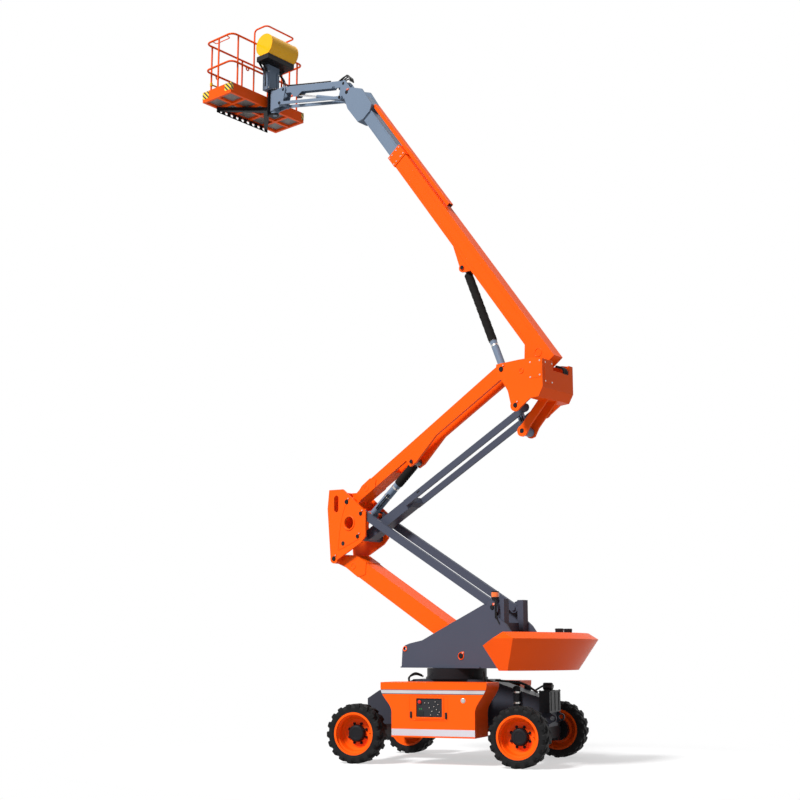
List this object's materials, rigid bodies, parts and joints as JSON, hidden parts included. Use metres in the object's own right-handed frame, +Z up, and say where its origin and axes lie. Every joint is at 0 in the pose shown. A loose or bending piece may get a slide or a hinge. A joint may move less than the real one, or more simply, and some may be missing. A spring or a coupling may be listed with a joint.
{
  "type": "articulating boom lift",
  "caption": "Self-propelled work platform on rubber tyres: slewing turntable, folding riser, telescoping main boom, jib and railed platform, raised as parked.",
  "frame": {"origin": "on the ground under the slew axis", "axes": "+Z up; +X along the chassis from the fixed axle to the steered axle; +Y to the far side"},
  "size_m": [7.3023, 4.1983, 13.047],
  "materials": {
    "orange_paint": "gloss",
    "cast_orange": "gloss",
    "dark_grey_paint": "satin",
    "blue_grey_paint": "satin",
    "black_paint": "satin",
    "black_plastic": "matte",
    "yellow_paint": "gloss",
    "rod_steel": "polished",
    "tyre_rubber": "matte"
  },
  "bodies": {
    "chassis": {"chassis_frame": "dark_grey_paint", "axle_fixed": "black_paint", "axle_steer": "black_paint", "cover_near": "orange_paint", "cover_far": "orange_paint", "ground_panel": "black_plastic", "engine_block": "dark_grey_paint", "slew_ring": "black_paint"},
    "knuckle_near": {"knuckle_near": "black_paint"},
    "knuckle_far": {"knuckle_far": "black_paint"},
    "wheel_fixed_near": {"tyre_fixed_near": "tyre_rubber", "rim_fixed_near": "orange_paint"},
    "wheel_fixed_far": {"tyre_fixed_far": "tyre_rubber", "rim_fixed_far": "orange_paint"},
    "wheel_steer_near": {"tyre_steer_near": "tyre_rubber", "rim_steer_near": "orange_paint"},
    "wheel_steer_far": {"tyre_steer_far": "tyre_rubber", "rim_steer_far": "orange_paint"},
    "turntable": {"turntable": "dark_grey_paint", "counterweight": "cast_orange", "beacon": "black_paint"},
    "lower_boom": {"lower_boom": "orange_paint"},
    "tie_rods": {"tie_rods": "dark_grey_paint"},
    "mid_bracket": {"mid_bracket": "orange_paint"},
    "mid_boom": {"mid_boom": "orange_paint"},
    "mid_link": {"mid_link": "dark_grey_paint"},
    "riser_barrel": {"riser_barrel": "blue_grey_paint"},
    "riser_rod": {"riser_rod": "rod_steel"},
    "upper_bracket": {"upper_bracket": "orange_paint"},
    "base_boom": {"base_boom": "orange_paint"},
    "lift_barrel": {"lift_barrel": "blue_grey_paint"},
    "lift_rod": {"lift_rod": "rod_steel"},
    "fly": {"fly_boom": "blue_grey_paint", "fly_head": "blue_grey_paint", "cable_tray": "orange_paint"},
    "nose": {"nose_bracket": "blue_grey_paint"},
    "jib_arm": {"jib_arm": "blue_grey_paint"},
    "jib_links": {"jib_links": "blue_grey_paint"},
    "jib_barrel": {"jib_barrel": "blue_grey_paint"},
    "jib_rod": {"jib_rod": "rod_steel"},
    "jib_head": {"jib_head": "blue_grey_paint"},
    "platform": {"platform_support": "black_paint", "platform_tower": "blue_grey_paint", "platform_floor": "orange_paint", "platform_rails": "orange_paint", "entry_bar": "yellow_paint", "control_cover": "yellow_paint", "work_lamp": "black_paint"}
  },
  "joints": [
    {"name": "steer_near", "type": "hinge", "parent": "chassis", "child": "knuckle_near", "pos_m": [1.2885, -0.82, 0.42], "axis": [0, 0, 1], "range_deg": [-28, 28]},
    {"name": "steer_far", "type": "hinge", "parent": "chassis", "child": "knuckle_far", "pos_m": [1.2885, 0.82, 0.42], "axis": [0, 0, 1], "range_deg": [-28, 28]},
    {"name": "wheel_fixed_near_spin", "type": "hinge", "parent": "chassis", "child": "wheel_fixed_near", "pos_m": [-1.1625, -1.095, 0.42], "axis": [0, 1, 0], "continuous": true},
    {"name": "wheel_fixed_far_spin", "type": "hinge", "parent": "chassis", "child": "wheel_fixed_far", "pos_m": [-1.1625, 1.095, 0.42], "axis": [0, 1, 0], "continuous": true},
    {"name": "wheel_steer_near_spin", "type": "hinge", "parent": "knuckle_near", "child": "wheel_steer_near", "pos_m": [1.2885, -1.095, 0.42], "axis": [0, 1, 0], "continuous": true},
    {"name": "wheel_steer_far_spin", "type": "hinge", "parent": "knuckle_far", "child": "wheel_steer_far", "pos_m": [1.2885, 1.095, 0.42], "axis": [0, 1, 0], "continuous": true},
    {"name": "slew", "type": "hinge", "parent": "chassis", "child": "turntable", "pos_m": [0, 0, 1.34], "axis": [0, 0, 1], "continuous": true},
    {"name": "riser_lift", "type": "hinge", "parent": "turntable", "child": "lower_boom", "pos_m": [0.32701, -0.11305, 1.52], "axis": [0.3267, 0.9451, 0], "range_deg": [-25.5, 37.5]},
    {"name": "tie_rod_swing", "type": "hinge", "parent": "turntable", "child": "tie_rods", "pos_m": [0.87802, -0.30353, 2.217], "axis": [0.3267, 0.9451, 0], "range_deg": [-25.52, 37.52]},
    {"name": "mid_bracket_level", "type": "hinge", "parent": "lower_boom", "child": "mid_bracket", "pos_m": [-2.17221, 0.75092, 3.07763], "axis": [0.3267, 0.9451, 0], "range_deg": [-37.52, 25.52]},
    {"name": "mid_boom_lift", "type": "hinge", "parent": "mid_bracket", "child": "mid_boom", "pos_m": [-1.91419, 0.66173, 3.98664], "axis": [0.3267, 0.9451, 0], "range_deg": [-37.52, 25.52]},
    {"name": "mid_link_swing", "type": "hinge", "parent": "mid_bracket", "child": "mid_link", "pos_m": [-1.68169, 0.58135, 3.40964], "axis": [0.3267, 0.9451, 0], "range_deg": [-37.52, 25.52]},
    {"name": "riser_barrel_swing", "type": "hinge", "parent": "mid_bracket", "child": "riser_barrel", "pos_m": [-1.6212, 0.56044, 3.77463], "axis": [0.3267, 0.9451, 0], "range_deg": [-39.12, 26.61]},
    {"name": "riser_rod_slide", "type": "slide", "parent": "riser_barrel", "child": "riser_rod", "axis": [0.7284, -0.2518, 0.6372], "range_m": [-0.16123, 0.23686]},
    {"name": "upper_bracket_level", "type": "hinge", "parent": "mid_boom", "child": "upper_bracket", "pos_m": [1.13431, -0.39213, 5.72049], "axis": [0.3267, 0.9451, 0], "range_deg": [-25.52, 37.52]},
    {"name": "main_lift", "type": "hinge", "parent": "upper_bracket", "child": "base_boom", "pos_m": [1.35075, -0.46695, 5.69949], "axis": [-0.3267, -0.9451, 0], "range_deg": [-21.5, 51.5]},
    {"name": "lift_barrel_swing", "type": "hinge", "parent": "upper_bracket", "child": "lift_barrel", "pos_m": [1.28837, -0.44538, 4.80549], "axis": [-0.3267, -0.9451, 0], "range_deg": [-16.31, 39.05]},
    {"name": "lift_rod_slide", "type": "slide", "parent": "lift_barrel", "child": "lift_rod", "axis": [-0.3537, 0.1223, 0.9273], "range_m": [-0.50258, 0.21011]},
    {"name": "telescope", "type": "slide", "parent": "base_boom", "child": "fly", "axis": [-0.5622, 0.1943, 0.8039], "range_m": [-0.9, 2.7]},
    {"name": "nose_level", "type": "hinge", "parent": "fly", "child": "nose", "pos_m": [-2.13717, 0.73881, 11.25004], "axis": [-0.3267, -0.9451, 0], "range_deg": [-51.52, 21.52]},
    {"name": "jib_lift", "type": "hinge", "parent": "nose", "child": "jib_arm", "pos_m": [-2.24869, 0.77736, 11.46404], "axis": [0.3267, 0.9451, 0], "range_deg": [-77.4, 57.6]},
    {"name": "jib_link_swing", "type": "hinge", "parent": "nose", "child": "jib_links", "pos_m": [-2.30256, 0.79598, 11.20404], "axis": [0.3267, 0.9451, 0], "range_deg": [-77.42, 57.62]},
    {"name": "jib_barrel_swing", "type": "hinge", "parent": "nose", "child": "jib_barrel", "pos_m": [-2.30256, 0.79598, 11.20404], "axis": [0.3267, 0.9451, 0], "range_deg": [-80.46, 59.89]},
    {"name": "jib_rod_slide", "type": "slide", "parent": "jib_barrel", "child": "jib_rod", "axis": [-0.8873, 0.3067, 0.3444], "range_m": [-0.30931, 0.23031]},
    {"name": "jib_head_level", "type": "hinge", "parent": "jib_arm", "child": "jib_head", "pos_m": [-3.68776, 1.27484, 11.79881], "axis": [0.3267, 0.9451, 0], "range_deg": [-57.62, 77.42]},
    {"name": "platform_rotate", "type": "hinge", "parent": "jib_head", "child": "platform", "pos_m": [-3.96184, 1.36959, 11.6], "axis": [0, 0, 1], "range_deg": [-80, 80]}
  ],
  "couplings": [
    {"joint": "steer_far", "follows": "steer_near", "ratio": 1},
    {"joint": "tie_rod_swing", "follows": "riser_lift", "ratio": 1},
    {"joint": "mid_bracket_level", "follows": "riser_lift", "ratio": -1},
    {"joint": "mid_boom_lift", "follows": "riser_lift", "ratio": -1},
    {"joint": "mid_link_swing", "follows": "riser_lift", "ratio": -1},
    {"joint": "riser_barrel_swing", "follows": "riser_lift", "ratio": -1.0427},
    {"joint": "riser_rod_slide", "follows": "riser_lift", "m_per_rad": 0.36114},
    {"joint": "upper_bracket_level", "follows": "riser_lift", "ratio": 1},
    {"joint": "lift_barrel_swing", "follows": "main_lift", "ratio": 0.7578},
    {"joint": "lift_rod_slide", "follows": "main_lift", "m_per_rad": -0.55858},
    {"joint": "nose_level", "follows": "main_lift", "ratio": -1},
    {"joint": "jib_link_swing", "follows": "jib_lift", "ratio": 1},
    {"joint": "jib_barrel_swing", "follows": "jib_lift", "ratio": 1.0393},
    {"joint": "jib_rod_slide", "follows": "jib_lift", "m_per_rad": 0.2286},
    {"joint": "jib_head_level", "follows": "jib_lift", "ratio": -1}
  ]
}
